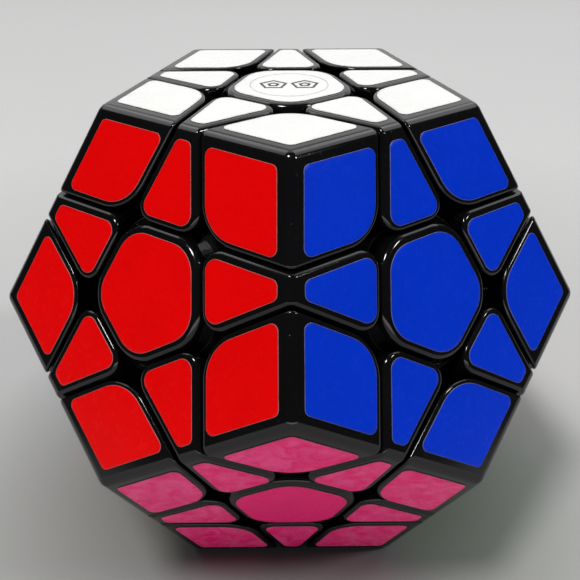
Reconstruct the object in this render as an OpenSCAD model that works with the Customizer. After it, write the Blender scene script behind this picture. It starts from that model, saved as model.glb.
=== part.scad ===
/*
  Twelve-sided twisty puzzle

  A dodecahedron cut by one plane next to each of its twelve faces.  It shows
  twenty corner pieces, thirty edge pieces and twelve centre pieces, all black,
  with a coloured sticker on every outer surface.

  Inside, a core ball with twelve posts holds the centres on sprung screws.
  The centres hold the edges by their feet, and the edges hold the corners.

  Z points up, -Y points to the front, and the puzzle's centre is the origin.
  It lies on its grey face.  Sizes are in millimetres.

  Three faces that share no piece are built as turning layers: white on top,
  pink at the lower front and light blue at the lower left of the back.
*/

/* [Overall] */

// Distance between two opposite faces, without stickers
across_flats = 66; // [62:0.5:70]

// Distance of the cutting planes from the centre, over that of the faces
cut_share = 0.66; // [0.66:0.0025:0.67]

// Clearance between neighbouring pieces
gap = 0.36; // [0.3:0.02:0.44]

// Wall thickness of the hollow pieces
wall = 1.4; // [1.2:0.1:1.6]

/* [Rounding] */

// Radius along the outer edges of the dodecahedron
outer_radius = 1.5; // [1.2:0.1:1.8]

// Radius of the upright edges of the centre pieces
centre_radius = 5.4; // [4.5:0.1:6]

// Radius of the inner upright edge of a corner piece's faces
corner_radius = 6.6; // [5:0.1:7]

// Radius of the inner upright edges of an edge piece's faces
edge_radius = 2; // [1.8:0.1:2.2]

/* [Stickers] */

// Sticker thickness
sticker_thickness = 0.1; // [0.08:0.01:0.16]

// Black border between a sticker and an outer edge
outer_margin = 1.66; // [1.5:0.02:1.8]

// Black border between a sticker and a cut
cut_margin = 1.05; // [0.9:0.05:1.2]

// Corner radius of the centre stickers
centre_sticker_radius = 3.9; // [3:0.1:4.5]

// Radius of the inner corner of a corner sticker
corner_sticker_radius = 5; // [4:0.1:5.5]

// Radius of the inner corners of an edge sticker
edge_sticker_radius = 1.4; // [1:0.1:1.8]

// Radius of the sharper sticker corners
small_sticker_radius = 0.9; // [0.6:0.05:1.1]

/* [Mark] */

// Radius of the ring printed on the white centre
mark_ring = 5.3; // [5:0.1:5.8]

// Width of that ring's line
mark_line = 0.14; // [0.1:0.01:0.3]

// Radius of the two pentagons inside the ring
mark_pentagon = 2; // [1.5:0.1:2.2]

// Line width of the pentagons
mark_stroke = 0.42; // [0.2:0.02:0.5]

// Height of the print above the sticker
mark_height = 0.03; // [0.02:0.01:0.05]

/* [Mechanism] */

// Radius of the core ball
core_radius = 9; // [8:0.25:9.5]

// Radius of the core's posts
post_radius = 3.2; // [2.9:0.1:3.4]

// Radius of the screws' shafts
screw_radius = 1.25; // [1.1:0.05:1.3]

// Radius of the screws' heads
screw_head_radius = 2.7; // [2.5:0.1:2.9]

// Clearance of a screw in its centre piece
screw_clearance = 0.06; // [0.03:0.01:0.09]

// Wire radius of the springs
spring_wire = 0.33; // [0.28:0.01:0.36]

// Number of turns drawn for each spring
spring_turns = 5; // [4:1:5]

/* [Hidden] */

black = [0.035, 0.035, 0.038];
black_inner = [0.06, 0.06, 0.065];
steel = [0.72, 0.73, 0.75];
ink = [0.3, 0.31, 0.33];

// Sticker colours, in the order of the faces below
colours = [
  [0.96, 0.96, 0.95],
  [0.78, 0.02, 0.02],
  [0.01, 0.12, 0.62],
  [0.95, 0.78, 0.03],
  [0.32, 0.1, 0.5],
  [0.02, 0.36, 0.12],
  [0.68, 0.12, 0.33],
  [0.45, 0.78, 0.12],
  [0.93, 0.4, 0.03],
  [0.35, 0.66, 0.88],
  [0.9, 0.85, 0.66],
  [0.45, 0.46, 0.48]
];

WHITE = 0;
RED = 1;
BLUE = 2;
YELLOW = 3;
PURPLE = 4;
GREEN = 5;
PINK = 6;
LIGHT_GREEN = 7;
ORANGE = 8;
LIGHT_BLUE = 9;
BEIGE = 10;
GREY = 11;

// The bodies: three layers, and everything else
LAYER_FACES = [WHITE, PINK, LIGHT_BLUE];
FIXED = -1;

// Polar and azimuth angles of the face axes
tilt = atan(2);
face_angles = [
  [0, 0],
  for (k = [0:4]) [tilt, -126 + 72 * k],
  for (k = [0:4]) [180 - tilt, -90 + 72 * k],
  [180, 0]
];

// Everything below is laid out for 66 mm and grows with the puzzle
grow = across_flats / 66;
face_distance = across_flats / 2;
cut = cut_share * face_distance;
half_gap = gap / 2;

// A dodecahedron's inradius and the inradius of its faces, over the length of its edges
inradius_share = 1.113516;
face_inradius_share = 0.688191;
face_inradius = face_inradius_share * face_distance / inradius_share;

// Reach of the cutting blocks: beyond the whole puzzle, and beyond one piece
big = 60 * grow;
near = 14 * grow;

// Heights from the core outwards: the feet, the necks and the outer parts of the edges
foot_bottom = 13.7 * grow;
foot_top = 20.3 * grow;
neck_bottom = 20.7 * grow;
shell_bottom = 30.15 * grow;

// Half-angles of a turning layer at its necks and feet, and what the pieces stay clear of them
neck_angle = 44;
foot_angle = 50;
bend_allowance = 1.5;

// Where the hollow outer part of a piece is glued to its foot, and the sizes of the feet
corner_bottom = 30.5 * grow;
corner_split = 31.6 * grow;
edge_split = 31 * grow;
spigot = 1.3;
spigot_clearance = 0.05;
corner_tilt = acos(sqrt((1 + 2 * cos(tilt)) / 3));
corner_spigot_room = (corner_split * cos(corner_tilt) - cut - half_gap - wall) / sin(corner_tilt);
corner_spigot_radius = corner_spigot_room - spigot_clearance;
corner_neck_radius = 2.9 * grow;
corner_foot_radius = 4.6 * grow;
edge_neck_u = 2.7 * grow;
edge_neck_w = 4.7 * grow;
edge_join_w = 2.4 * grow;
edge_neck_joint = 1.2;
corner_foot_bottom = 13.9 * grow;
corner_foot_top = 19.75 * grow;
corner_neck_bottom = corner_foot_top - 0.7;

// Heights along a centre piece's axis
post_top = 11.7 * grow;
stem_bottom = 11.95 * grow;
stem_radius = 2.85 * grow;
shoulder_radius = 6.5 * grow;
shoulder_bottom = 20.55 * grow;
shoulder_edge = 19.75 * grow;
skirt_radius = 9.3 * grow;
skirt_top = 28.6 * grow;
skirt_lap = 0.3;
well_floor = 22.5 * grow;
well_radius = 4.3 * grow;
cap_bottom = 30.8 * grow;
collar_length = 1.8;
collar_wall = 0.9;
washer_thickness = 0.4;
washer_radius = 2.9;
screw_head_top = 28.2 * grow;
screw_head_height = 1.4;
slot_width = 0.9;
slot_depth = 0.7;
slot_length = 3.4;
screw_bottom = 4 * grow;
post_root = 2;
post_bore_clearance = 0.01;
bore_depth = 0.2;
spring_rest = 0.06;
spring_radius = 2.2;
washer_bottom = screw_head_top - screw_head_height - washer_thickness;

// Printed mark: distance of the pentagons from the middle, and the share of the pentagon inside each
pentagon_x = 1.055 * mark_pentagon;
inner_share = 0.45;

// Rounding cuts cross the flats at a slight angle, by this much overlap
blend = 0.03;

// How far the parts of one solid run into each other, and how far a cut runs past a surface
overlap = 0.5;
past = 1;

function unit(v) = v / norm(v);

function direction(angles) = [
  sin(angles[0]) * cos(angles[1]),
  sin(angles[0]) * sin(angles[1]),
  cos(angles[0])
];

face_axes = [for (a = face_angles) direction(a)];

// Whether two faces share an edge: their axes are then about 63 degrees apart
function meet(i, j) = i != j && face_axes[i] * face_axes[j] > 0.3;

// Pieces as lists of the faces they show
corners = [
  for (i = [0:11]) for (j = [i + 1:1:11]) for (k = [j + 1:1:11])
    if (meet(i, j) && meet(i, k) && meet(j, k)) [i, j, k]
];
edges = [
  for (i = [0:11]) for (j = [i + 1:1:11])
    if (meet(i, j)) [i, j]
];
centres = [for (i = [0:11]) [i]];

function has(list, value) = len([for (x = list) if (x == value) x]) > 0;

// The layer that a piece belongs to
function layer_of(faces) =
  has(faces, WHITE) ? WHITE
  : has(faces, PINK) ? PINK
  : has(faces, LIGHT_BLUE) ? LIGHT_BLUE
  : FIXED;

function of_layer(pieces, layer) = [for (p = pieces) if (layer_of(p) == layer) p];

function sum_axes(faces) =
  len(faces) == 1 ? face_axes[faces[0]]
  : len(faces) == 2 ? face_axes[faces[0]] + face_axes[faces[1]]
  : face_axes[faces[0]] + face_axes[faces[1]] + face_axes[faces[2]];

// Faces at the two ends of an edge piece
function end_faces(e) = [
  for (k = [0:11]) if (meet(k, e[0]) && meet(k, e[1])) k
];

// Normal of the plane that touches a cone around n, on the side of v
function cone_plane(n, v, angle) =
  sin(angle) * n - cos(angle) * unit(v - (v * n) * n);

function polar_of(v) = acos(max(-1, min(1, v[2] / norm(v))));
function azimuth_of(v) = v[0] == 0 && v[1] == 0 ? 0 : atan2(v[1], v[0]);

// Turns +Z towards v
module aim(v) {
  rotate([0, polar_of(v), azimuth_of(v)])
    children();
}

// Turns +Z towards v and +X as far as it goes towards w
module aim_both(v, w) {
  polar = polar_of(v);
  azimuth = azimuth_of(v);
  turn = atan2(w * [-sin(azimuth), cos(azimuth), 0], w * direction([polar + 90, azimuth]));
  rotate([0, polar, azimuth])
    rotate([0, 0, turn])
      children();
}

// The space between two parallel planes
module between(v, low, high, reach) {
  aim(v)
    translate([-reach, -reach, low])
      cube([2 * reach, 2 * reach, high - low]);
}

// What rounding takes off the edge where a.x >= ca meets b.x >= cb
module edge_waste(a, ca, b, cb, radius) {
  k = a * b;
  m = unit(a + b);
  half = asin(a * m);
  q = ((ca - k * cb) * a + (cb - k * ca) * b) / (1 - k * k);
  depth = (radius - blend) / sin(half);
  difference() {
    translate(q)
      aim(m)
        translate([-2 * near, -2 * near, -near])
          cube([4 * near, 4 * near, near + depth * cos(half) * cos(half)]);
    translate(q + m * depth)
      aim(cross(a, b))
        rotate([0, 0, 90])
          cylinder(r = radius, h = 2 * big, center = true);
  }
}

/* Corner pieces */

// Corner pieces are drawn on the Z axis, with their three faces' axes around it
corner_axes = [for (k = [0:2]) direction([corner_tilt, 120 * k])];

// A corner piece's outline above the plane at low, shrunk on all sides by inset
module corner_outline(low, inset) {
  inner = cut + half_gap + inset;
  outer = face_distance - inset;
  difference() {
    intersection() {
      between([0, 0, 1], low, big, near);
      between(corner_axes[0], inner, outer, big);
      between(corner_axes[1], inner, outer, big);
      between(corner_axes[2], inner, outer, big);
    }
    for (k = [0:2]) {
      a = corner_axes[k];
      b = corner_axes[(k + 1) % 3];
      edge_waste(a, inner, b, inner, corner_radius * grow - inset);
      if (inset == 0)
        edge_waste(-a, -outer, -b, -outer, outer_radius * grow);
    }
  }
}

module corner_shell() {
  difference() {
    corner_outline(corner_split, 0);
    corner_outline(corner_split - past, wall);
  }
}

// A wedge on the Z axis, inside the layers of all three faces
module corner_wedge(angle, radius, low, high) {
  intersection() {
    translate([0, 0, low])
      cylinder(r = radius, h = high - low);
    intersection_for(n = corner_axes)
      between(cone_plane(n, [0, 0, 1], angle - bend_allowance), half_gap, big, big);
  }
}

module corner_foot() {
  difference() {
    corner_outline(corner_bottom, 0);
    between([0, 0, 1], corner_split, big, 2 * near);
  }
  translate([0, 0, corner_split - overlap])
    cylinder(r = corner_spigot_radius, h = spigot + overlap);
  corner_wedge(neck_angle, corner_neck_radius, corner_neck_bottom, corner_bottom + overlap);
  corner_wedge(foot_angle, corner_foot_radius, corner_foot_bottom, corner_foot_top);
}

/* Edge pieces */

// An edge piece's outline above the plane at low, shrunk on all sides by inset
module edge_outline(faces, low, inset) {
  inner = cut + half_gap + inset;
  outer = face_distance - inset;
  end = cut - half_gap - inset;
  ends = end_faces(faces);
  difference() {
    intersection() {
      between(unit(sum_axes(faces)), low, big, near);
      between(face_axes[faces[0]], inner, outer, big);
      between(face_axes[faces[1]], inner, outer, big);
      between(face_axes[ends[0]], -big, end, big);
      between(face_axes[ends[1]], -big, end, big);
    }
    for (f = faces)
      for (k = ends)
        edge_waste(face_axes[f], inner, -face_axes[k], -end, edge_radius * grow - inset);
    if (inset == 0)
      edge_waste(-face_axes[faces[0]], -outer, -face_axes[faces[1]], -outer, outer_radius * grow);
  }
}

module edge_shell(faces) {
  difference() {
    edge_outline(faces, edge_split, 0);
    edge_outline(faces, edge_split - past, wall);
  }
}

// A block around the piece's own axis, u across the edge and w along it
module edge_block(faces, u, w, low, high) {
  m = unit(sum_axes(faces));
  across = unit(face_axes[faces[0]] - face_axes[faces[1]]);
  intersection() {
    between(across, -u, u, big);
    between(cross(m, across), -w, w, big);
    between(m, low, high, near);
  }
}

module edge_foot(faces) {
  m = unit(sum_axes(faces));
  difference() {
    edge_outline(faces, shell_bottom, 0);
    between(m, edge_split, big, 2 * near);
  }
  intersection() {
    edge_outline(faces, edge_split - overlap, wall + spigot_clearance);
    between(m, 0, edge_split + spigot, near);
  }
  edge_block(faces, edge_neck_u, edge_neck_w, neck_bottom, shell_bottom + overlap / 2);
  edge_block(faces, edge_neck_u, edge_join_w, foot_top - edge_neck_joint, neck_bottom + edge_neck_joint);
  intersection() {
    intersection_for(f = faces)
      between(cone_plane(face_axes[f], m, foot_angle - bend_allowance), half_gap, big, big);
    intersection_for(k = end_faces(faces))
      between(-cone_plane(face_axes[k], m, foot_angle), half_gap, big, big);
    difference() {
      sphere(r = foot_top);
      sphere(r = foot_bottom);
    }
  }
}

/* Centre pieces */

// The five-sided part of a centre piece between two heights
module centre_block(face, low, high) {
  end = cut - half_gap;
  ring = [for (k = [0:11]) if (meet(k, face)) k];
  difference() {
    intersection() {
      between(face_axes[face], low, high, 2 * near);
      intersection_for(k = ring)
        between(face_axes[k], -big, end, big);
    }
    for (j = ring)
      for (k = ring)
        if (j < k && meet(j, k))
          edge_waste(-face_axes[j], -end, -face_axes[k], -end, centre_radius * grow);
  }
}

module centre_base(faces) {
  bore = screw_radius + screw_clearance;
  difference() {
    union() {
      centre_block(faces[0], skirt_top - skirt_lap, cap_bottom);
      aim(face_axes[faces[0]])
        rotate_extrude()
          polygon([
            [0, stem_bottom],
            [stem_radius, stem_bottom],
            [stem_radius, shoulder_bottom],
            [shoulder_radius, shoulder_edge],
            [skirt_radius, skirt_top],
            [0, skirt_top]
          ]);
    }
    aim(face_axes[faces[0]]) {
      translate([0, 0, well_floor])
        cylinder(r = well_radius, h = near);
      translate([0, 0, stem_bottom - past])
        cylinder(r = bore, h = near);
    }
  }
}

module centre_cap(faces) {
  outer = well_radius - spigot_clearance;
  centre_block(faces[0], cap_bottom, face_distance);
  aim(face_axes[faces[0]])
    translate([0, 0, cap_bottom - collar_length])
      difference() {
        cylinder(r = outer, h = collar_length + overlap);
        translate([0, 0, -past])
          cylinder(r = outer - collar_wall, h = collar_length + past);
      }
}

/* Core */

module core() {
  color(black_inner)
    difference() {
      union() {
        sphere(r = core_radius * grow);
        for (n = face_axes)
          aim(n)
            translate([0, 0, core_radius * grow - post_root])
              cylinder(r = post_radius * grow, h = post_top - core_radius * grow + post_root);
      }
      for (n = face_axes)
        aim(n)
          translate([0, 0, screw_bottom - bore_depth])
            cylinder(r = screw_radius + post_bore_clearance, h = near);
    }
}

module screws() {
  color(steel)
    for (n = face_axes)
      aim(n)
        difference() {
          union() {
            translate([0, 0, screw_bottom])
              cylinder(r = screw_radius, h = screw_head_top - screw_bottom - overlap);
            translate([0, 0, screw_head_top - screw_head_height])
              cylinder(r = screw_head_radius, h = screw_head_height);
          }
          for (turn = [0, 90])
            rotate([0, 0, turn])
              translate([-slot_width / 2, -slot_length / 2, screw_head_top - slot_depth])
                cube([slot_width, slot_length, slot_depth + past]);
        }
}

module washers() {
  color(steel)
    for (n = face_axes)
      aim(n)
        translate([0, 0, washer_bottom])
          difference() {
            cylinder(r = washer_radius, h = washer_thickness);
            translate([0, 0, -past])
              cylinder(r = screw_radius + screw_clearance, h = washer_thickness + 2 * past);
          }
}

// Each spring is drawn as closed rings
module springs() {
  low = well_floor + spring_rest + spring_wire;
  high = washer_bottom - spring_rest - spring_wire;
  color(steel)
    for (n = face_axes)
      aim(n)
        for (k = [0:spring_turns - 1])
          translate([0, 0, low + (high - low) * k / (spring_turns - 1)])
            rotate_extrude()
              translate([spring_radius, 0])
                circle(r = spring_wire);
}

/* Stickers */

// Point where two lines meet, each given by its normal's angle and distance
function crossing(a, da, b, db) =
  [da * sin(b) - db * sin(a), db * cos(a) - da * cos(b)] / sin(b - a);

// Corner number i of an outline, rounded to its radius
function arc(outline, radii, i) =
  let (
    count = len(outline),
    p = outline[i],
    u = unit(outline[(i + count - 1) % count] - p),
    v = unit(outline[(i + 1) % count] - p),
    half = acos(u * v) / 2,
    turn = 180 - 2 * half,
    middle = p + unit(u + v) * radii[i] / sin(half),
    from = p + u * radii[i] / tan(half) - middle,
    start = atan2(from[1], from[0]),
    steps = ceil(turn / 12)
  )
  [
    for (k = [0:steps])
      let (angle = start + turn * k / steps)
      middle + radii[i] * [cos(angle), sin(angle)]
  ];

function rounded(outline, radii) =
  [for (i = [0:len(outline) - 1]) each arc(outline, radii, i)];

cut_line = (cut - face_distance * cos(tilt)) / sin(tilt);
sticker_low = cut_line + cut_margin * grow;
sticker_high = face_inradius - outer_margin * grow;
sticker_end = cut_line - cut_margin * grow;
small = small_sticker_radius * grow;

corner_sticker = rounded(
  [
    crossing(36, sticker_low, -36, sticker_low),
    crossing(36, sticker_low, -36, sticker_high),
    crossing(36, sticker_high, -36, sticker_high),
    crossing(36, sticker_high, -36, sticker_low)
  ],
  [corner_sticker_radius * grow, small, small, small]
);

edge_sticker = rounded(
  [
    crossing(0, sticker_low, -72, sticker_end),
    crossing(0, sticker_high, -72, sticker_end),
    crossing(0, sticker_high, 72, sticker_end),
    crossing(0, sticker_low, 72, sticker_end)
  ],
  [edge_sticker_radius * grow, small, small, edge_sticker_radius * grow]
);

centre_sticker = rounded(
  [for (k = [0:4]) crossing(72 * k, sticker_end, 72 * k + 72, sticker_end)],
  [for (k = [0:4]) centre_sticker_radius * grow]
);

module sticker(face, towards, outline) {
  aim_both(face_axes[face], towards)
    translate([0, 0, face_distance])
      linear_extrude(height = sticker_thickness)
        polygon(outline);
}

// The first of a face's five neighbours, for its centre sticker to point at
function first_neighbour(face) = [for (k = [0:11]) if (meet(k, face)) face_axes[k]][0];

// All the stickers of one face that turn with one layer
module face_stickers(face, layer) {
  color(colours[face]) {
    for (p = of_layer(corners, layer))
      if (has(p, face))
        sticker(face, sum_axes(p), corner_sticker);
    for (p = of_layer(edges, layer))
      if (has(p, face))
        sticker(face, sum_axes(p), edge_sticker);
    if (layer_of([face]) == layer)
      sticker(face, first_neighbour(face), centre_sticker);
  }
}

// Print on the white centre: a ring around two pairs of nested pentagons
module white_mark() {
  color(ink)
    translate([0, 0, face_distance + sticker_thickness]) {
      difference() {
        cylinder(r = mark_ring * grow, h = mark_height);
        translate([0, 0, -past])
          cylinder(r = (mark_ring - mark_line) * grow, h = mark_height + 2 * past);
      }
      for (x = [-1, 1])
        for (size = [1, inner_share])
          translate([x * pentagon_x * grow, 0, 0])
            pentagon_line(mark_pentagon * size * grow);
    }
}

module pentagon_line(radius) {
  inner = radius - mark_stroke * grow;
  linear_extrude(height = mark_height)
    difference() {
      polygon([for (k = [0:4]) radius * [cos(90 + 72 * k), sin(90 + 72 * k)]]);
      polygon([for (k = [0:4]) inner * [cos(90 + 72 * k), sin(90 + 72 * k)]]);
    }
}

/* Groups of pieces */

module centre_bases(layer) {
  color(black_inner)
    for (p = of_layer(centres, layer))
      centre_base(p);
}

module centre_caps(layer) {
  color(black)
    for (p = of_layer(centres, layer))
      centre_cap(p);
}

module corner_shells(layer) {
  color(black)
    for (p = of_layer(corners, layer))
      aim_both(sum_axes(p), face_axes[p[0]])
        corner_shell();
}

module corner_feet(layer) {
  color(black_inner)
    for (p = of_layer(corners, layer))
      aim_both(sum_axes(p), face_axes[p[0]])
        corner_foot();
}

module edge_shells(layer) {
  color(black)
    for (p = of_layer(edges, layer))
      edge_shell(p);
}

module edge_feet(layer) {
  color(black_inner)
    for (p = of_layer(edges, layer))
      edge_foot(p);
}

/* Nodes */

module fixed_centre_bases() {
  centre_bases(FIXED);
}

module fixed_centre_caps() {
  centre_caps(FIXED);
}

module fixed_corner_shells() {
  corner_shells(FIXED);
}

module fixed_corner_feet() {
  corner_feet(FIXED);
}

module fixed_edge_shells() {
  edge_shells(FIXED);
}

module fixed_edge_feet() {
  edge_feet(FIXED);
}

module white_centre_base() {
  centre_bases(WHITE);
}

module white_centre_cap() {
  centre_caps(WHITE);
}

module white_corner_shells() {
  corner_shells(WHITE);
}

module white_corner_feet() {
  corner_feet(WHITE);
}

module white_edge_shells() {
  edge_shells(WHITE);
}

module white_edge_feet() {
  edge_feet(WHITE);
}

module pink_centre_base() {
  centre_bases(PINK);
}

module pink_centre_cap() {
  centre_caps(PINK);
}

module pink_corner_shells() {
  corner_shells(PINK);
}

module pink_corner_feet() {
  corner_feet(PINK);
}

module pink_edge_shells() {
  edge_shells(PINK);
}

module pink_edge_feet() {
  edge_feet(PINK);
}

module light_blue_centre_base() {
  centre_bases(LIGHT_BLUE);
}

module light_blue_centre_cap() {
  centre_caps(LIGHT_BLUE);
}

module light_blue_corner_shells() {
  corner_shells(LIGHT_BLUE);
}

module light_blue_corner_feet() {
  corner_feet(LIGHT_BLUE);
}

module light_blue_edge_shells() {
  edge_shells(LIGHT_BLUE);
}

module light_blue_edge_feet() {
  edge_feet(LIGHT_BLUE);
}

module white_stickers() {
  face_stickers(WHITE, WHITE);
}

module pink_stickers() {
  face_stickers(PINK, PINK);
}

module light_blue_stickers() {
  face_stickers(LIGHT_BLUE, LIGHT_BLUE);
}

module red_stickers_fixed() {
  face_stickers(RED, FIXED);
}

module red_stickers_white_layer() {
  face_stickers(RED, WHITE);
}

module red_stickers_pink_layer() {
  face_stickers(RED, PINK);
}

module blue_stickers_fixed() {
  face_stickers(BLUE, FIXED);
}

module blue_stickers_white_layer() {
  face_stickers(BLUE, WHITE);
}

module blue_stickers_pink_layer() {
  face_stickers(BLUE, PINK);
}

module yellow_stickers_fixed() {
  face_stickers(YELLOW, FIXED);
}

module yellow_stickers_white_layer() {
  face_stickers(YELLOW, WHITE);
}

module purple_stickers_fixed() {
  face_stickers(PURPLE, FIXED);
}

module purple_stickers_white_layer() {
  face_stickers(PURPLE, WHITE);
}

module purple_stickers_light_blue_layer() {
  face_stickers(PURPLE, LIGHT_BLUE);
}

module green_stickers_fixed() {
  face_stickers(GREEN, FIXED);
}

module green_stickers_white_layer() {
  face_stickers(GREEN, WHITE);
}

module green_stickers_light_blue_layer() {
  face_stickers(GREEN, LIGHT_BLUE);
}

module light_green_stickers_fixed() {
  face_stickers(LIGHT_GREEN, FIXED);
}

module light_green_stickers_pink_layer() {
  face_stickers(LIGHT_GREEN, PINK);
}

module orange_stickers_fixed() {
  face_stickers(ORANGE, FIXED);
}

module orange_stickers_light_blue_layer() {
  face_stickers(ORANGE, LIGHT_BLUE);
}

module beige_stickers_fixed() {
  face_stickers(BEIGE, FIXED);
}

module beige_stickers_pink_layer() {
  face_stickers(BEIGE, PINK);
}

module beige_stickers_light_blue_layer() {
  face_stickers(BEIGE, LIGHT_BLUE);
}

module grey_stickers_fixed() {
  face_stickers(GREY, FIXED);
}

module grey_stickers_pink_layer() {
  face_stickers(GREY, PINK);
}

module grey_stickers_light_blue_layer() {
  face_stickers(GREY, LIGHT_BLUE);
}

// Node to draw, or all of them

core();
screws();
washers();
springs();
white_mark();
fixed_centre_bases();
fixed_centre_caps();
fixed_corner_shells();
fixed_corner_feet();
fixed_edge_shells();
fixed_edge_feet();
white_centre_base();
white_centre_cap();
white_corner_shells();
white_corner_feet();
white_edge_shells();
white_edge_feet();
pink_centre_base();
pink_centre_cap();
pink_corner_shells();
pink_corner_feet();
pink_edge_shells();
pink_edge_feet();
light_blue_centre_base();
light_blue_centre_cap();
light_blue_corner_shells();
light_blue_corner_feet();
light_blue_edge_shells();
light_blue_edge_feet();
white_stickers();
pink_stickers();
light_blue_stickers();
red_stickers_fixed();
red_stickers_white_layer();
red_stickers_pink_layer();
blue_stickers_fixed();
blue_stickers_white_layer();
blue_stickers_pink_layer();
yellow_stickers_fixed();
yellow_stickers_white_layer();
purple_stickers_fixed();
purple_stickers_white_layer();
purple_stickers_light_blue_layer();
green_stickers_fixed();
green_stickers_white_layer();
green_stickers_light_blue_layer();
light_green_stickers_fixed();
light_green_stickers_pink_layer();
orange_stickers_fixed();
orange_stickers_light_blue_layer();
beige_stickers_fixed();
beige_stickers_pink_layer();
beige_stickers_light_blue_layer();
grey_stickers_fixed();
grey_stickers_pink_layer();
grey_stickers_light_blue_layer();
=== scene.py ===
"""Looks of the twelve-sided twisty puzzle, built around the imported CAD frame.

Pieces are worked out in millimetres, and finish_mesh turns them into metres. The floor, the lights and the
camera are placed in metres.
"""

import math
import random

import bmesh
import bpy
from mathutils import Matrix, Vector


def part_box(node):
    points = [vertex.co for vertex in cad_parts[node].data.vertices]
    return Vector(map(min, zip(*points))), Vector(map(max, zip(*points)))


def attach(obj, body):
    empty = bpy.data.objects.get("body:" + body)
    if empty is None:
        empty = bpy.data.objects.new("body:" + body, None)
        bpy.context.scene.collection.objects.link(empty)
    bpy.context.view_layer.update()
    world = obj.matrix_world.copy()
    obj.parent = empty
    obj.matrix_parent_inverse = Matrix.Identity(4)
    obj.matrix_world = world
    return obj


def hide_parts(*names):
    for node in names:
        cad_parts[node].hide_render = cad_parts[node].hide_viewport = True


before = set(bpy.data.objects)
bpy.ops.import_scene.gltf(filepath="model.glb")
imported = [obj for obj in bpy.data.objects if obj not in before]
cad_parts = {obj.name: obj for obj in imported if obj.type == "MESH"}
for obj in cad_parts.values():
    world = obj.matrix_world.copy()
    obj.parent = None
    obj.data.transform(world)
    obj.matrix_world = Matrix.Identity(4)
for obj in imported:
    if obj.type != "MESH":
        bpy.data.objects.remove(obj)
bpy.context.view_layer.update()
scene = bpy.context.scene
MM = 0.001

# ---------------------------------------------------------------- sizes, in millimetres
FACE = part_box("white_corner_shells")[1].z / MM  # centre to face
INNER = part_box("white_corner_shells")[0].z / MM  # lower side of the white layer's shells
STICKER_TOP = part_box("white_stickers")[1].z / MM
MARK_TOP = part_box("white_mark")[1].z / MM
SPRING_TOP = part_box("springs")[1].z / MM
FLOOR_DROP = 0.01  # keeps the floor out of the plane of the lowest stickers
FLOOR_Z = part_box("grey_stickers_fixed")[0].z - FLOOR_DROP * MM  # in metres
DRAWN_FACE = 33.0  # the face distance at which the sizes below are given
GROW = FACE / DRAWN_FACE

# The dodecahedron and its cuts
FACE_PER_SIDE, FACE_INRADIUS_PER_SIDE = 1.113516, 0.688191
SIDE = FACE / FACE_PER_SIDE
FACE_INRADIUS = FACE_INRADIUS_PER_SIDE * SIDE
TILT = math.atan(2)  # between the axes of neighbouring faces
ACUTE, OBTUSE = 63.43, 116.57  # the two angles between neighbouring planes, in degrees
HALF_GAP = 0.18
WALL = 1.4
OUTER_END = INNER - 2 * HALF_GAP
CUT_LINE = (INNER - HALF_GAP - FACE * math.cos(TILT)) / math.sin(TILT)  # from a face's middle to a cut

# Heights along a piece's own axis
CORNER_SPLIT = 31.6 * GROW
EDGE_SPLIT = 31.0 * GROW
CAP_BOTTOM = 30.8 * GROW
COLLAR_BOTTOM = 29.0 * GROW
SPRING_BOTTOM = 22.56 * GROW

COLLAR_OUTER, COLLAR_INNER = 4.25 * GROW, 3.35 * GROW
SPRING_RADIUS, SPRING_WIRE, SPRING_TURNS = 2.2, 0.33, 5

# Roundings of the shells: radii of the upright edges, then bevel widths of the rims
CENTRE_RADIUS, CORNER_RADIUS, EDGE_RADIUS = 5.4 * GROW, 6.6 * GROW, 2.0 * GROW
OUTER_RIM, ACUTE_RIM, OBTUSE_RIM = 0.93, 0.62, 0.42

# Stickers
CUT_MARGIN, OUTER_MARGIN = 1.05 * GROW, 1.66 * GROW
CENTRE_STICKER_RADIUS, CORNER_STICKER_RADIUS = 3.9 * GROW, 5.0 * GROW
EDGE_STICKER_RADIUS, SMALL_STICKER_RADIUS = 1.4 * GROW, 0.9 * GROW
LIP = 0.05
SOILED_BORDER = 0.5
SHIFT, TWIST = 0.09, math.radians(0.5)  # how far a hand-laid sticker strays

# Print on the white centre
RING_RADIUS, RING_LINE = 5.3 * GROW, 0.14 * GROW
PENTAGON_RADIUS, PENTAGON_LINE, PENTAGON_X = 2.0 * GROW, 0.42 * GROW, 2.11 * GROW
INNER_PENTAGON = 0.45

# How finely round shapes are divided
UPRIGHT_SEGMENTS, RIM_SEGMENTS = 12, 4
RING_STEPS, COLLAR_STEPS, COIL_STEPS, WIRE_STEPS = 120, 48, 24, 10
ARC_STEP, FEWEST_ARC_STEPS = 6, 3  # on the stickers' corners, the first in degrees

# Faces, numbered from the top down, with the layers and bodies that they turn with
COLOURS = ["white", "red", "blue", "yellow", "purple", "green",
           "pink", "light_green", "orange", "light_blue", "beige", "grey"]
FACES = range(len(COLOURS))
WHITE, PINK, LIGHT_BLUE, FIXED = 0, 6, 9, -1
TURNING = (WHITE, PINK, LIGHT_BLUE)
LAYERS = {WHITE: "white", PINK: "pink", LIGHT_BLUE: "light_blue", FIXED: "fixed"}
BODIES = {WHITE: "white_layer", PINK: "pink_layer", LIGHT_BLUE: "light_blue_layer", FIXED: "puzzle_body"}


# ---------------------------------------------------------------- layout of the twelve faces
FIFTH, TENTH = 72, 36  # parts of a full turn, in degrees
FIRST_UPPER, FIRST_LOWER = -126, -90  # azimuths of the red and of the pink face


def polar(tilt, azimuth):
    a = math.radians(azimuth)
    return Vector((math.sin(tilt) * math.cos(a), math.sin(tilt) * math.sin(a), math.cos(tilt)))


AXES = [Vector((0, 0, 1))]
AXES += [polar(TILT, FIRST_UPPER + FIFTH * k) for k in range(5)]
AXES += [polar(math.pi - TILT, FIRST_LOWER + FIFTH * k) for k in range(5)]
AXES += [Vector((0, 0, -1))]


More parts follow.
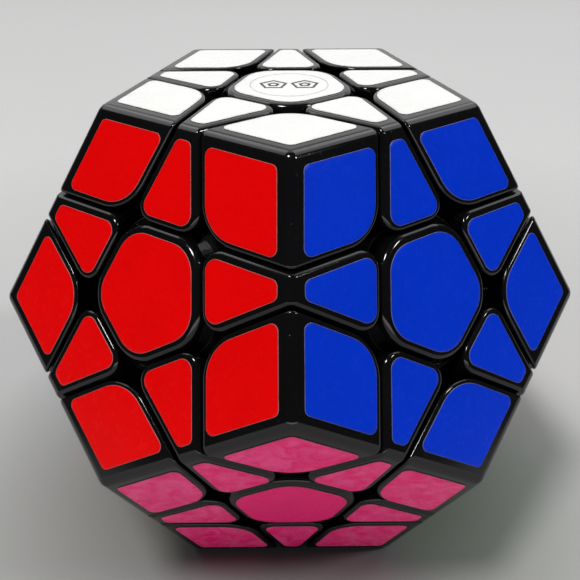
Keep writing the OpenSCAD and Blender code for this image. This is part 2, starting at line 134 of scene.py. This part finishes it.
def meet(i, j):
    """Whether two faces share a side: their axes lie less than a right angle apart."""
    return i != j and AXES[i].dot(AXES[j]) > 0


CORNERS = [(i, j, k) for i in FACES for j in FACES[i + 1:] for k in FACES[j + 1:]
           if meet(i, j) and meet(j, k) and meet(i, k)]
EDGES = [(i, j) for i in FACES for j in FACES[i + 1:] if meet(i, j)]


def neighbours(face):
    return [k for k in FACES if meet(k, face)]


def end_faces(edge):
    return [k for k in neighbours(edge[0]) if meet(k, edge[1])]


def layer_of(faces):
    return next((layer for layer in TURNING if layer in faces), FIXED)


def sum_axes(faces):
    return sum((AXES[f] for f in faces), Vector())


def name_of(faces):
    return "_".join(COLOURS[f] for f in faces)


# ---------------------------------------------------------------- shader helpers
COLOUR_A, COLOUR_B, COLOUR_RESULT = 6, 7, 2  # sockets that a Mix node uses for colours


def new_material(name):
    m = bpy.data.materials.new(name)
    m.use_nodes = True
    nt = m.node_tree
    return m, nt, nt.nodes["Principled BSDF"]


def place_in_object(nt):
    return nt.nodes.new("ShaderNodeTexCoord").outputs["Object"]


def noise(nt, at, scale, detail=2.0, distortion=0.0):
    n = nt.nodes.new("ShaderNodeTexNoise")
    n.inputs["Scale"].default_value = scale
    n.inputs["Detail"].default_value = detail
    n.inputs["Distortion"].default_value = distortion
    nt.links.new(at, n.inputs["Vector"])
    return n.outputs["Fac"]


def stretched(nt, at, turn, squeeze):
    """Coordinates turned and scaled along each axis; a scale below one draws a noise out along that axis."""
    m = nt.nodes.new("ShaderNodeMapping")
    m.inputs["Rotation"].default_value = turn
    m.inputs["Scale"].default_value = squeeze
    nt.links.new(at, m.inputs["Vector"])
    return m.outputs["Vector"]


def remap(nt, source, low, high, from_low=0.3, from_high=0.7):
    """Maps from_low..from_high onto low..high and stays at those ends; a noise's fac is mostly 0.3 to 0.7."""
    m = nt.nodes.new("ShaderNodeMapRange")
    m.inputs["From Min"].default_value = from_low
    m.inputs["From Max"].default_value = from_high
    m.inputs["To Min"].default_value = low
    m.inputs["To Max"].default_value = high
    nt.links.new(source, m.inputs["Value"])
    return m.outputs["Result"]


def math_node(nt, operation, a, b):
    n = nt.nodes.new("ShaderNodeMath")
    n.operation = operation
    for socket, value in zip(n.inputs, (a, b)):
        if isinstance(value, (int, float)):
            socket.default_value = value
        else:
            nt.links.new(value, socket)
    return n.outputs["Value"]


def mix(nt, fac, a, b):
    """Colour mix; a and b are colours or sockets."""
    n = nt.nodes.new("ShaderNodeMix")
    n.data_type = "RGBA"
    nt.links.new(fac, n.inputs["Factor"])
    for socket, value in ((n.inputs[COLOUR_A], a), (n.inputs[COLOUR_B], b)):
        if isinstance(value, tuple):
            socket.default_value = value + (1.0,)
        else:
            nt.links.new(value, socket)
    return n.outputs[COLOUR_RESULT]


def paint(nt, bsdf, colour, rough):
    nt.links.new(colour, bsdf.inputs["Base Color"])
    nt.links.new(rough, bsdf.inputs["Roughness"])


def bump(nt, bsdf, height, strength, distance):
    b = nt.nodes.new("ShaderNodeBump")
    b.inputs["Strength"].default_value = strength
    b.inputs["Distance"].default_value = distance * MM
    nt.links.new(height, b.inputs["Height"])
    nt.links.new(b.outputs["Normal"], bsdf.inputs["Normal"])


def shade(colour, k):
    return tuple(min(1.0, c * k) for c in colour)


def mottled(nt, pattern, colour, dark, bright):
    """A colour that wanders between two shades of itself, as the pattern does."""
    return mix(nt, remap(nt, pattern, 0, 1), shade(colour, dark), shade(colour, bright))


# ---------------------------------------------------------------- materials
PLASTIC_SPECULAR, FILM_SPECULAR, FLOOR_SPECULAR = 0.4, 0.13, 0.1
WORN, DUST = (0.018, 0.018, 0.019), (0.35, 0.34, 0.32)
SOIL = (0.5, 0.46, 0.4)  # what soiling leaves of a film's red, green and blue


def glossy_plastic(name, colour):
    """Handled gloss plastic: greasy patches, hairline scratches, rubbed rims and a little dust."""
    m, nt, bsdf = new_material(name)
    at = place_in_object(nt)
    patches = noise(nt, at, 110, 3.0)
    peel = noise(nt, at, 1300)
    hairlines = [noise(nt, stretched(nt, at, turn, (1, 1, 0.03)), 2600)
                 for turn in ((0.3, 0.9, 0), (1.3, -0.4, 0.8))]
    scratches = math_node(nt, "MAXIMUM", *[remap(nt, h, 0, 1, 0.66, 0.72) for h in hairlines])
    geometry = nt.nodes.new("ShaderNodeNewGeometry")
    rims = remap(nt, geometry.outputs["Pointiness"], 0, 1, 0.55, 0.63)
    rubbed = math_node(nt, "MULTIPLY", rims, remap(nt, noise(nt, at, 700, 3.0), 0, 1, 0.42, 0.66))
    dust = nt.nodes.new("ShaderNodeTexVoronoi")
    dust.inputs["Scale"].default_value = 330
    nt.links.new(at, dust.inputs["Vector"])
    specks = remap(nt, dust.outputs["Distance"], 0.16, 0, 0.015, 0.03)
    body = mottled(nt, patches, colour, 0.85, 1.2)
    worn = mix(nt, rubbed, body, WORN)
    dusty = mix(nt, specks, worn, DUST)
    rough = remap(nt, patches, 0.08, 0.13)
    rough = math_node(nt, "ADD", rough, math_node(nt, "MULTIPLY", scratches, 0.12))
    rough = math_node(nt, "ADD", rough, math_node(nt, "MULTIPLY", rubbed, 0.14))
    paint(nt, bsdf, dusty, rough)
    bsdf.inputs["Specular IOR Level"].default_value = PLASTIC_SPECULAR
    bump(nt, bsdf, math_node(nt, "SUBTRACT", peel, scratches), 0.25, 0.002)
    return m


def inner_plastic(name, colour, rough):
    """Satin plastic that no hand touches, slightly mottled; rough holds its two ends of roughness."""
    m, nt, bsdf = new_material(name)
    at = place_in_object(nt)
    patches = noise(nt, at, 160, 3.0)
    grain = noise(nt, at, 1800)
    paint(nt, bsdf, mottled(nt, patches, colour, 0.75, 1.3), remap(nt, patches, *rough))
    bsdf.inputs["Specular IOR Level"].default_value = PLASTIC_SPECULAR
    bump(nt, bsdf, grain, 0.3, 0.004)
    return m


def vinyl(name, colour, painted_reflection=0.0, reflection_colour=None, wave=0.02):
    """Sticker film: faint mottling, an uneven surface, a soiled border, and on some films a painted
    reflection, as lighter cloudy patches mixed into the colour.
    """
    m, nt, bsdf = new_material(name)
    at = place_in_object(nt)
    slow = noise(nt, at, 170)
    fine = noise(nt, at, 900, 3.0, 1.2)
    body = mottled(nt, slow, colour, 0.97, 1.03)
    if painted_reflection:
        # painted reflection: lighter cloudy patches mixed into the film's colour, standing in for light that
        # the mottled film reflects
        reflection_clouds = noise(nt, stretched(nt, at, (0.2, 0.5, 0.4), (1, 0.7, 1)), 430, 2.0, 0.9)
        body = mix(nt, remap(nt, reflection_clouds, 0, painted_reflection, 0.35, 0.68), body, reflection_colour)
    border = nt.nodes.new("ShaderNodeAttribute")
    border.attribute_name = "border"
    smudges = remap(nt, noise(nt, at, 420, 4.0, 0.8), 0, 0.5, 0.42, 0.7)
    soiled = math_node(nt, "MULTIPLY", border.outputs["Fac"], smudges)
    body = mix(nt, soiled, body, tuple(c * k for c, k in zip(colour, SOIL)))
    rough = math_node(nt, "ADD", remap(nt, fine, 0.2, 0.3), math_node(nt, "MULTIPLY", soiled, 0.4))
    paint(nt, bsdf, body, rough)
    bsdf.inputs["Specular IOR Level"].default_value = FILM_SPECULAR
    bump(nt, bsdf, math_node(nt, "ADD", slow, math_node(nt, "MULTIPLY", fine, 0.05)), 0.5, wave)
    return m


def cut_edge(name, colour):
    """The cut side of a sticker, where the pale film under the colour shows."""
    m, nt, bsdf = new_material(name)
    fine = noise(nt, place_in_object(nt), 900)
    pale = tuple(c * 0.3 + 0.09 for c in colour)
    paint(nt, bsdf, mottled(nt, fine, pale, 0.7, 1.1), remap(nt, fine, 0.35, 0.55))
    bump(nt, bsdf, fine, 0.3, 0.01)
    return m


def zinc_plated(name):
    m, nt, bsdf = new_material(name)
    fine = noise(nt, place_in_object(nt), 1200, 4.0)
    grey = mix(nt, remap(nt, fine, 0, 1), (0.48, 0.48, 0.49), (0.62, 0.62, 0.63))
    paint(nt, bsdf, grey, remap(nt, fine, 0.25, 0.42))
    bsdf.inputs["Metallic"].default_value = 1.0
    bump(nt, bsdf, fine, 0.2, 0.01)
    return m


def ink(name, colour):
    """Screen-printed ink, duller than the film."""
    m, nt, bsdf = new_material(name)
    fine = noise(nt, place_in_object(nt), 1500, 3.0)
    paint(nt, bsdf, mottled(nt, fine, colour, 0.8, 1.25), remap(nt, fine, 0.35, 0.5))
    bump(nt, bsdf, fine, 0.2, 0.004)
    return m


STICKER_COLOURS = {
    "white": (0.73, 0.73, 0.72),
    "red": (0.7, 0.0006, 0.001),
    "blue": (0.0006, 0.028, 0.49),
    "yellow": (0.88, 0.62, 0.01),
    "purple": (0.16, 0.03, 0.33),
    "green": (0.003, 0.17, 0.035),
    "pink": (0.92, 0.017, 0.185),
    "light_green": (0.2, 0.6, 0.03),
    "orange": (0.9, 0.16, 0.005),
    "light_blue": (0.12, 0.42, 0.78),
    "beige": (0.82, 0.72, 0.46),
    "grey": (0.18, 0.19, 0.21),
}
# the lighter colour of the pink film's painted reflection
PINK_PAINTED_REFLECTION = (1.0, 0.125, 0.35)

BLACK = glossy_plastic("black_plastic", (0.0025, 0.0025, 0.0029))
INNER_BLACK = inner_plastic("inner_plastic", (0.005, 0.005, 0.0054), (0.2, 0.3))
CORE_BLACK = inner_plastic("core_plastic", (0.01, 0.01, 0.01), (0.35, 0.45))
STEEL = zinc_plated("steel")
DARK_INK = ink("dark_ink", (0.03, 0.031, 0.034))
PALE_INK = ink("pale_ink", (0.5, 0.5, 0.49))
FILMS = {c: vinyl("film_" + c, v) for c, v in STICKER_COLOURS.items()}
PINK_FILM_PAINTED_REFLECTION = vinyl("film_pink_painted_reflection", STICKER_COLOURS["pink"], 0.62, PINK_PAINTED_REFLECTION, wave=0.05)
CUT_EDGES = {c: cut_edge("film_edge_" + c, v) for c, v in STICKER_COLOURS.items() if c != "white"}
CUT_EDGES["white"] = FILMS["white"]  # white through and through


# ---------------------------------------------------------------- mesh helpers
OUT, IN, END, BOTTOM = 1, 2, 3, 4  # kinds of faces: puzzle's surface, cut inside, cut at an end, underside
START_CUBE, ON_PLANE = 240, 1e-5
SAME_DIRECTION, SAME_HEIGHT = 0.99999, 0.01
FLAT_WEIGHT = 60  # how much a large flat counts in the shading of the rims beside it


def cut_solid(planes):
    """The solid inside all planes, each (normal, distance, kind), as a bmesh whose faces carry their kind."""
    bm = bmesh.new()
    bmesh.ops.create_cube(bm, size=START_CUBE)
    kind = bm.faces.layers.int.new("kind")
    for normal, distance, number in planes:
        cut = bmesh.ops.bisect_plane(bm, geom=bm.verts[:] + bm.edges[:] + bm.faces[:], dist=ON_PLANE,
                                     plane_co=normal * distance, plane_no=normal, clear_outer=True)
        rim = [e for e in cut["geom_cut"] if isinstance(e, bmesh.types.BMEdge)]
        if rim:
            for f in bmesh.ops.edgeloop_fill(bm, edges=rim)["faces"]:
                f[kind] = number
    bmesh.ops.recalc_face_normals(bm, faces=bm.faces[:])
    return bm, kind


def round_upright(bm, kind, pair, radius, angle):
    """Rounds the edges between two kinds of faces that turn by the given angle."""
    chosen = [e for e in bm.edges if len(e.link_faces) == 2
              and tuple(sorted(f[kind] for f in e.link_faces)) == pair]
    width = radius * math.tan(math.radians(angle) / 2)
    bmesh.ops.bevel(bm, geom=chosen, offset=width, offset_type="OFFSET", segments=UPRIGHT_SEGMENTS,
                    profile=0.5, affect="EDGES", clamp_overlap=False)


def is_shown(f, axes):
    """Whether a face of the mesh lies in one of the puzzle's faces with these axes."""
    middle = f.calc_center_median()
    return any(f.normal.dot(n) > SAME_DIRECTION and abs(middle.dot(n) - FACE) < SAME_HEIGHT for n in axes)


def weigh_rims(bm, axes):
    """Sets the bevel width of each rim: the sharper a rim turns, the wider it is rounded."""
    weight = bm.edges.layers.float.new("bevel_weight_edge")
    shown = {f: is_shown(f, axes) for f in bm.faces}
    for e in bm.edges:
        if len(e.link_faces) != 2:
            continue
        a, b = e.link_faces
        if shown[a] and shown[b]:
            e[weight] = OUTER_RIM
        elif shown[a] or shown[b]:
            turn = math.degrees(a.normal.angle(b.normal))
            part = min(1.0, max(0.0, (turn - ACUTE) / (OBTUSE - ACUTE)))
            e[weight] = OBTUSE_RIM + (ACUTE_RIM - OBTUSE_RIM) * part


def finish_mesh(bm, name, materials, rims=True):
    """Turns the bmesh into an object in metres, bevels its weighted rims and keeps its flats flat."""
    bm.transform(Matrix.Scale(MM, 4))
    for f in bm.faces:
        f.smooth = True
    mesh = bpy.data.meshes.new(name)
    bm.to_mesh(mesh)
    bm.free()
    for material in materials:
        mesh.materials.append(material)
    ob = bpy.data.objects.new(name, mesh)
    scene.collection.objects.link(ob)
    if rims:
        b = ob.modifiers.new("rims", "BEVEL")
        b.limit_method = "WEIGHT"
        b.offset_type = "OFFSET"
        b.width = MM  # times each rim's weight
        b.segments = RIM_SEGMENTS
        b.use_clamp_overlap = False
    w = ob.modifiers.new("flats", "WEIGHTED_NORMAL")
    w.weight = FLAT_WEIGHT
    w.keep_sharp = True
    return ob


def add_cavity(bm, planes, low_normal):
    """Hollows the solid with the planes of its cavity, and closes the ring around the mouth at its bottom."""
    kind = bm.faces.layers.int["kind"]
    bottoms = [f for f in bm.faces if f[kind] == BOTTOM]
    mouth = set(e for f in bottoms for e in f.edges)
    bmesh.ops.delete(bm, geom=bottoms, context="FACES_ONLY")
    hollow, hollow_kind = cut_solid(planes)
    inner_bottom = [f for f in hollow.faces if f[hollow_kind] == BOTTOM]
    bmesh.ops.delete(hollow, geom=inner_bottom, context="FACES_ONLY")
    bmesh.ops.reverse_faces(hollow, faces=hollow.faces[:])
    spare = bpy.data.meshes.new("spare")
    hollow.to_mesh(spare)
    hollow.free()
    before = set(bm.edges)
    bm.from_mesh(spare)
    bpy.data.meshes.remove(spare)
    rim = [e for e in bm.edges if e not in before and e.is_boundary]
    made = bmesh.ops.triangle_fill(bm, use_beauty=True, use_dissolve=False,
                                   edges=[e for e in mouth if e.is_valid] + rim, normal=-low_normal)
    faces = [g for g in made["geom"] if isinstance(g, bmesh.types.BMFace)]
    for f in faces:
        f[kind] = BOTTOM
        for e in f.edges:
            e.smooth = False
    bmesh.ops.recalc_face_normals(bm, faces=faces)
    if faces and faces[0].normal.dot(low_normal) > 0:
        bmesh.ops.reverse_faces(bm, faces=faces)


def add_rings(bm, rings, closed=False):
    """Skins a list of equally long rings of vertices; closed joins the last ring to the first."""
    count = len(rings[0])
    pairs = list(zip(rings, rings[1:])) + ([(rings[-1], rings[0])] if closed else [])
    made = []
    for a, b in pairs:
        for k in range(count):
            made.append(bm.faces.new((a[k], a[(k + 1) % count], b[(k + 1) % count], b[k])))
    return made


def circle(radius, steps, x=0.0, start=0.0):
    angles = [start + 2 * math.pi * k / steps for k in range(steps)]
    return [Vector((x + radius * math.cos(a), radius * math.sin(a))) for a in angles]


def ring_at(bm, points, z, turn):
    """Vertices for a flat outline at a height, turned into place."""
    return [bm.verts.new(turn @ Vector((p.x, p.y, z))) for p in points]


def add_band(bm, outer, inner, low, high, turn=Matrix.Identity(3)):
    """A closed band between two flat outlines and two heights; returns its faces."""
    levels = ((outer, low), (outer, high), (inner, high), (inner, low))
    return add_rings(bm, [ring_at(bm, points, z, turn) for points, z in levels], closed=True)


def upright(axis):
    """Turns the Z axis onto the given one."""
    return axis.to_track_quat("Z", "Y").to_matrix()


def place(ob, node, layer):
    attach(ob, BODIES[layer])
    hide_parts(node)


# ---------------------------------------------------------------- shells of the corners, edges and centres
def piece_planes(faces, inset, low):
    """Planes around a corner or edge piece, whose bottom is low along its own axis."""
    planes = [(AXES[f], FACE - inset, OUT) for f in faces]
    planes += [(-AXES[f], -(INNER + inset), IN) for f in faces]
    if len(faces) == 2:
        planes += [(AXES[k], OUTER_END - inset, END) for k in end_faces(faces)]
    return planes + [(-sum_axes(faces).normalized(), -low, BOTTOM)]


def make_shell(faces, kind_name, low, pair, radius, angle):
    layer = layer_of(faces)
    bm, kind = cut_solid(piece_planes(faces, 0, low))
    round_upright(bm, kind, pair, radius, angle)
    weigh_rims(bm, [AXES[f] for f in faces])
    add_cavity(bm, piece_planes(faces, WALL, low), sum_axes(faces).normalized())
    ob = finish_mesh(bm, kind_name + "_" + name_of(faces), [BLACK])
    place(ob, LAYERS[layer] + "_" + kind_name + "_shells", layer)


def make_cap(face):
    layer = layer_of((face,))
    planes = [(AXES[face], FACE, OUT)]
    planes += [(AXES[k], OUTER_END, END) for k in neighbours(face)]
    planes += [(-AXES[face], -CAP_BOTTOM, BOTTOM)]
    bm, kind = cut_solid(planes)
    round_upright(bm, kind, (END, END), CENTRE_RADIUS, ACUTE)
    weigh_rims(bm, [AXES[face]])
    add_band(bm, circle(COLLAR_OUTER, COLLAR_STEPS), circle(COLLAR_INNER, COLLAR_STEPS),
             COLLAR_BOTTOM, CAP_BOTTOM, upright(AXES[face]))
    ob = finish_mesh(bm, "cap_" + COLOURS[face], [BLACK])
    node = "fixed_centre_caps" if layer == FIXED else LAYERS[layer] + "_centre_cap"
    place(ob, node, layer)


for corner in CORNERS:
    make_shell(corner, "corner", CORNER_SPLIT, (IN, IN), CORNER_RADIUS, ACUTE)
for edge in EDGES:
    make_shell(edge, "edge", EDGE_SPLIT, (IN, END), EDGE_RADIUS, OBTUSE)
for face in FACES:
    make_cap(face)


# ---------------------------------------------------------------- outlines of the stickers
def crossing(a, da, b, db):
    """Where two lines meet, each given by its normal's angle in degrees and its distance."""
    a, b = math.radians(a), math.radians(b)
    s = math.sin(b - a)
    return Vector(((da * math.sin(b) - db * math.sin(a)) / s, (db * math.cos(a) - da * math.cos(b)) / s))


def rounded(outline, radii):
    """The outline with each corner rounded to its own radius."""
    points = []
    for i, p in enumerate(outline):
        u = (outline[i - 1] - p).normalized()
        v = (outline[(i + 1) % len(outline)] - p).normalized()
        half = math.acos(u.dot(v)) / 2
        turn = math.pi - 2 * half
        middle = p + (u + v).normalized() * radii[i] / math.sin(half)
        start_at = p + u * radii[i] / math.tan(half) - middle
        start = math.atan2(start_at.y, start_at.x)
        steps = max(FEWEST_ARC_STEPS, math.ceil(math.degrees(turn) / ARC_STEP))
        for k in range(steps + 1):
            t = start + turn * k / steps
            points.append(middle + radii[i] * Vector((math.cos(t), math.sin(t))))
    return points


# Distances from a face's middle: inner and outer sides of corner and edge stickers, and edge and centre ends
LOW = CUT_LINE + CUT_MARGIN
HIGH = FACE_INRADIUS - OUTER_MARGIN
STICKER_END = CUT_LINE - CUT_MARGIN
CORNER_OUTLINE = rounded([crossing(TENTH, LOW, -TENTH, LOW), crossing(TENTH, LOW, -TENTH, HIGH),
                          crossing(TENTH, HIGH, -TENTH, HIGH), crossing(TENTH, HIGH, -TENTH, LOW)],
                         [CORNER_STICKER_RADIUS] + 3 * [SMALL_STICKER_RADIUS])
EDGE_OUTLINE = rounded([crossing(0, LOW, -FIFTH, STICKER_END), crossing(0, HIGH, -FIFTH, STICKER_END),
                        crossing(0, HIGH, FIFTH, STICKER_END), crossing(0, LOW, FIFTH, STICKER_END)],
                       [EDGE_STICKER_RADIUS, SMALL_STICKER_RADIUS, SMALL_STICKER_RADIUS, EDGE_STICKER_RADIUS])
CENTRE_OUTLINE = rounded([crossing(FIFTH * k, STICKER_END, FIFTH * (k + 1), STICKER_END) for k in range(5)],
                         5 * [CENTRE_STICKER_RADIUS])


# ---------------------------------------------------------------- stickers
CUT_SIDE, CENTRE_FILM = 1, 2  # material slots next to the film's own
hand = random.Random(12)


def face_matrix(face, towards):
    """In-face frame: x towards the given direction, z out of the face."""
    n = AXES[face]
    x = (towards - n * towards.dot(n)).normalized()
    return Matrix((x, n.cross(x), n)).transposed()


def inset_outline(points, by):
    inset = []
    for i, p in enumerate(points):
        d = (points[(i + 1) % len(points)] - points[i - 1]).normalized()
        inset.append(p + Vector((-d.y, d.x)) * by)
    return inset


def strayed(points):
    """The outline as a hand lays it: shifted and turned a little about its middle."""
    middle = sum(points, Vector((0, 0))) / len(points)
    shift = Vector((hand.uniform(-SHIFT, SHIFT), hand.uniform(-SHIFT, SHIFT)))
    turn = Matrix.Rotation(hand.uniform(-TWIST, TWIST), 2)
    return [middle + shift + turn @ (p - middle) for p in points]


def add_sticker(bm, outline, turn, film=0):
    """A film with a rounded lip and a border that can soil."""
    border = bm.verts.layers.float.get("border") or bm.verts.layers.float.new("border")
    outline = strayed(outline)
    lip = [(0.0, STICKER_TOP - LIP), (LIP * 0.3, STICKER_TOP - LIP * 0.3), (LIP, STICKER_TOP)]
    profile = [(0.0, FACE)] + lip + [(SOILED_BORDER, STICKER_TOP)]
    rings = [ring_at(bm, inset_outline(outline, inset), z, turn) for inset, z in profile]
    for ring in rings[:-1]:
        for v in ring:
            v[border] = 1.0
    for i, f in enumerate(add_rings(bm, rings)):
        f.material_index = CUT_SIDE if i < len(lip) * len(outline) else film
    bm.faces.new(rings[-1]).material_index = film
    bm.faces.new(list(reversed(rings[0]))).material_index = film


def sticker_node(face, layer):
    name = COLOURS[face] + "_stickers"
    if face in TURNING:
        return name
    return name + "_" + ("fixed" if layer == FIXED else BODIES[layer])


def make_stickers(face, layer):
    """All stickers of one face that turn with one layer, if there are any."""
    bm = bmesh.new()
    for faces, outline in [(c, CORNER_OUTLINE) for c in CORNERS] + [(e, EDGE_OUTLINE) for e in EDGES]:
        if face in faces and layer_of(faces) == layer:
            add_sticker(bm, outline, face_matrix(face, sum_axes(faces)))
    if layer_of((face,)) == layer:
        add_sticker(bm, CENTRE_OUTLINE, face_matrix(face, AXES[neighbours(face)[0]]), CENTRE_FILM)
    if not bm.verts:
        bm.free()
        return
    colour = COLOURS[face]
    film = PINK_FILM_PAINTED_REFLECTION if face == PINK else FILMS[colour]
    node = sticker_node(face, layer)
    ob = finish_mesh(bm, "film_" + node, [film, CUT_EDGES[colour], FILMS[colour]], rims=False)
    place(ob, node, layer)


for face in FACES:
    for layer in TURNING + (FIXED,):
        make_stickers(face, layer)


# ---------------------------------------------------------------- printed mark: a ring and nested pentagons
def make_mark():
    bm = bmesh.new()
    ring = add_band(bm, circle(RING_RADIUS, RING_STEPS), circle(RING_RADIUS - RING_LINE, RING_STEPS),
                    STICKER_TOP, MARK_TOP)
    for f in ring:
        f.material_index = 1
    for side in (-1, 1):
        for size in (1.0, INNER_PENTAGON):
            outer, inner = [circle(radius, 5, side * PENTAGON_X, math.pi / 2)
                            for radius in (PENTAGON_RADIUS * size, PENTAGON_RADIUS * size - PENTAGON_LINE)]
            add_band(bm, outer, inner, STICKER_TOP, MARK_TOP)
    ob = finish_mesh(bm, "printed_mark", [DARK_INK, PALE_INK], rims=False)
    place(ob, "white_mark", WHITE)


make_mark()


# ---------------------------------------------------------------- coil springs under the screw heads
def spring_path():
    """Centre line of a compression spring around Z, with half a flat turn at each end."""
    low, high = SPRING_BOTTOM + SPRING_WIRE, SPRING_TOP - SPRING_WIRE
    steps = COIL_STEPS * SPRING_TURNS
    points = []
    for k in range(steps + 1):
        turns = SPRING_TURNS * k / steps
        rise = min(1.0, max(0.0, (turns - 0.5) / (SPRING_TURNS - 1)))
        a = 2 * math.pi * turns
        z = low + (high - low) * rise
        points.append(Vector((SPRING_RADIUS * math.cos(a), SPRING_RADIUS * math.sin(a), z)))
    return points


def add_spring(bm, turn):
    path = spring_path()
    rings = []
    for k, p in enumerate(path):
        along = (path[min(k + 1, len(path) - 1)] - path[max(k - 1, 0)]).normalized()
        out = Vector((p.x, p.y, 0)).normalized()
        up = along.cross(out)
        wire = circle(SPRING_WIRE, WIRE_STEPS)
        rings.append([bm.verts.new(turn @ (p + out * q.x + up * q.y)) for q in wire])
    add_rings(bm, rings)
    bm.faces.new(list(reversed(rings[0])))
    bm.faces.new(rings[-1])


def make_springs():
    bm = bmesh.new()
    for axis in AXES:
        add_spring(bm, upright(axis))
    bmesh.ops.recalc_face_normals(bm, faces=bm.faces[:])
    place(finish_mesh(bm, "coil_springs", [STEEL], rims=False), "springs", FIXED)


make_springs()

# ---------------------------------------------------------------- carried-over CAD nodes
NODE_MATERIALS = {"screws": STEEL, "washers": STEEL, "core": CORE_BLACK}
for name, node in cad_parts.items():
    if not node.hide_render:
        node.data.materials.clear()
        node.data.materials.append(NODE_MATERIALS.get(name, INNER_BLACK))

# ---------------------------------------------------------------- floor
FLOOR_REACH = 3.0  # metres, as are the two distances below
# Painted contact shadow: the floor's colour is darker near the puzzle and lighter further out.
SHADED_FROM, SHADED_TO, OPEN_TO = 0.034, 0.068, 0.17  # the floor is darker near the puzzle
SHADED_TONE, EDGE_TONE, OPEN_GAIN = 0.1, 0.42, 0.1
FLOOR_ROUGHNESS = 0.9


def pale_floor_painted_shadow():
    m, nt, bsdf = new_material("floor")
    at = place_in_object(nt)
    away = nt.nodes.new("ShaderNodeVectorMath")
    away.operation = "LENGTH"
    nt.links.new(at, away.inputs[0])
    # painted contact shadow: the colour darkens towards the puzzle
    tone = math_node(nt, "ADD",
                     remap(nt, away.outputs["Value"], SHADED_TONE, EDGE_TONE, SHADED_FROM, SHADED_TO),
                     remap(nt, away.outputs["Value"], 0.0, OPEN_GAIN, SHADED_TO, OPEN_TO))
    tone = math_node(nt, "ADD", tone, remap(nt, noise(nt, at, 6, 3.0), 0.0, 0.01))
    nt.links.new(tone, bsdf.inputs["Base Color"])
    bsdf.inputs["Roughness"].default_value = FLOOR_ROUGHNESS
    bsdf.inputs["Specular IOR Level"].default_value = FLOOR_SPECULAR
    return m


bm = bmesh.new()
bm.faces.new([bm.verts.new((x * FLOOR_REACH, y * FLOOR_REACH, FLOOR_Z))
              for x, y in ((-1, -1), (1, -1), (1, 1), (-1, 1))])
mesh = bpy.data.meshes.new("floor")
bm.to_mesh(mesh)
bm.free()
mesh.materials.append(pale_floor_painted_shadow())
floor = bpy.data.objects.new("floor", mesh)
scene.collection.objects.link(floor)

# ---------------------------------------------------------------- light
world = bpy.data.worlds.new("world")
scene.world = world
world.use_nodes = True
background = world.node_tree.nodes["Background"]
background.inputs["Color"].default_value = (0.94, 0.97, 1.0, 1)
background.inputs["Strength"].default_value = 0.05


def softbox(name, azimuth, elevation, away, size, radiance, colour=(1, 1, 1), shape="RECTANGLE"):
    """A soft light aimed at the puzzle; radiance is its brightness, whatever its size."""
    a, e = math.radians(azimuth), math.radians(elevation)
    towards = Vector((math.cos(a) * math.cos(e), math.sin(a) * math.cos(e), math.sin(e)))
    light = bpy.data.lights.new(name, "AREA")
    light.shape = shape
    light.size, light.size_y = size
    covers = size[0] * size[1] * (math.pi / 4 if shape == "ELLIPSE" else 1.0)
    light.energy = radiance * math.pi * covers
    light.color = colour
    ob = bpy.data.objects.new(name, light)
    ob.location = towards * away
    ob.rotation_euler = (-towards).to_track_quat("-Z", "Y").to_euler()
    scene.collection.objects.link(ob)


softbox("key_left", -127, 66, 1.1, (0.24, 0.24), 59.0, (1.0, 0.99, 0.97), "ELLIPSE")
softbox("key_right", -20, 42, 1.1, (0.16, 0.16), 55.0, (0.97, 0.99, 1.0), "ELLIPSE")
softbox("back_wall", 90, 24, 1.4, (2.8, 1.0), 0.85)
softbox("top_back", 90, 60, 1.1, (1.2, 0.5), 1.2)
softbox("side_left", 142, 47, 1.2, (0.8, 0.5), 1.9)
softbox("side_right", 38, 47, 1.2, (0.8, 0.5), 1.9)
softbox("front_low", -90, 6, 1.3, (2.6, 0.3), 2.4)

# ---------------------------------------------------------------- camera
VIEW_AZIMUTH, VIEW_ELEVATION = math.radians(-0.27), math.radians(30.67)
YAW, PITCH, ROLL = math.radians(0.01), math.radians(0.44), math.radians(-0.22)
DISTANCE = 127.1 * GROW * MM
LENS, SENSOR_WIDTH, CLIP_START = 51.0, 36.0, 0.01


def view_matrix():
    """A camera that looks at the puzzle's middle, then turned by the yaw, the pitch and the roll."""
    back = Vector((math.sin(VIEW_AZIMUTH) * math.cos(VIEW_ELEVATION),
                   -math.cos(VIEW_AZIMUTH) * math.cos(VIEW_ELEVATION), math.sin(VIEW_ELEVATION)))
    forward = -back
    right = forward.cross(Vector((0, 0, 1))).normalized()
    up = right.cross(forward)
    forward = (forward + math.tan(YAW) * right + math.tan(PITCH) * up).normalized()
    right = forward.cross(up).normalized()
    up = right.cross(forward)
    rolled_right = right * math.cos(ROLL) + up * math.sin(ROLL)
    rolled_up = up * math.cos(ROLL) - right * math.sin(ROLL)
    turned = Matrix((rolled_right, rolled_up, -forward)).transposed().to_4x4()
    return Matrix.Translation(back * DISTANCE) @ turned


camera_data = bpy.data.cameras.new("camera")
camera_data.sensor_width = SENSOR_WIDTH
camera_data.lens = LENS
camera_data.clip_start = CLIP_START
camera = bpy.data.objects.new("camera", camera_data)
camera.matrix_world = view_matrix()
scene.collection.objects.link(camera)
scene.camera = camera
scene.view_settings.view_transform = "Standard"
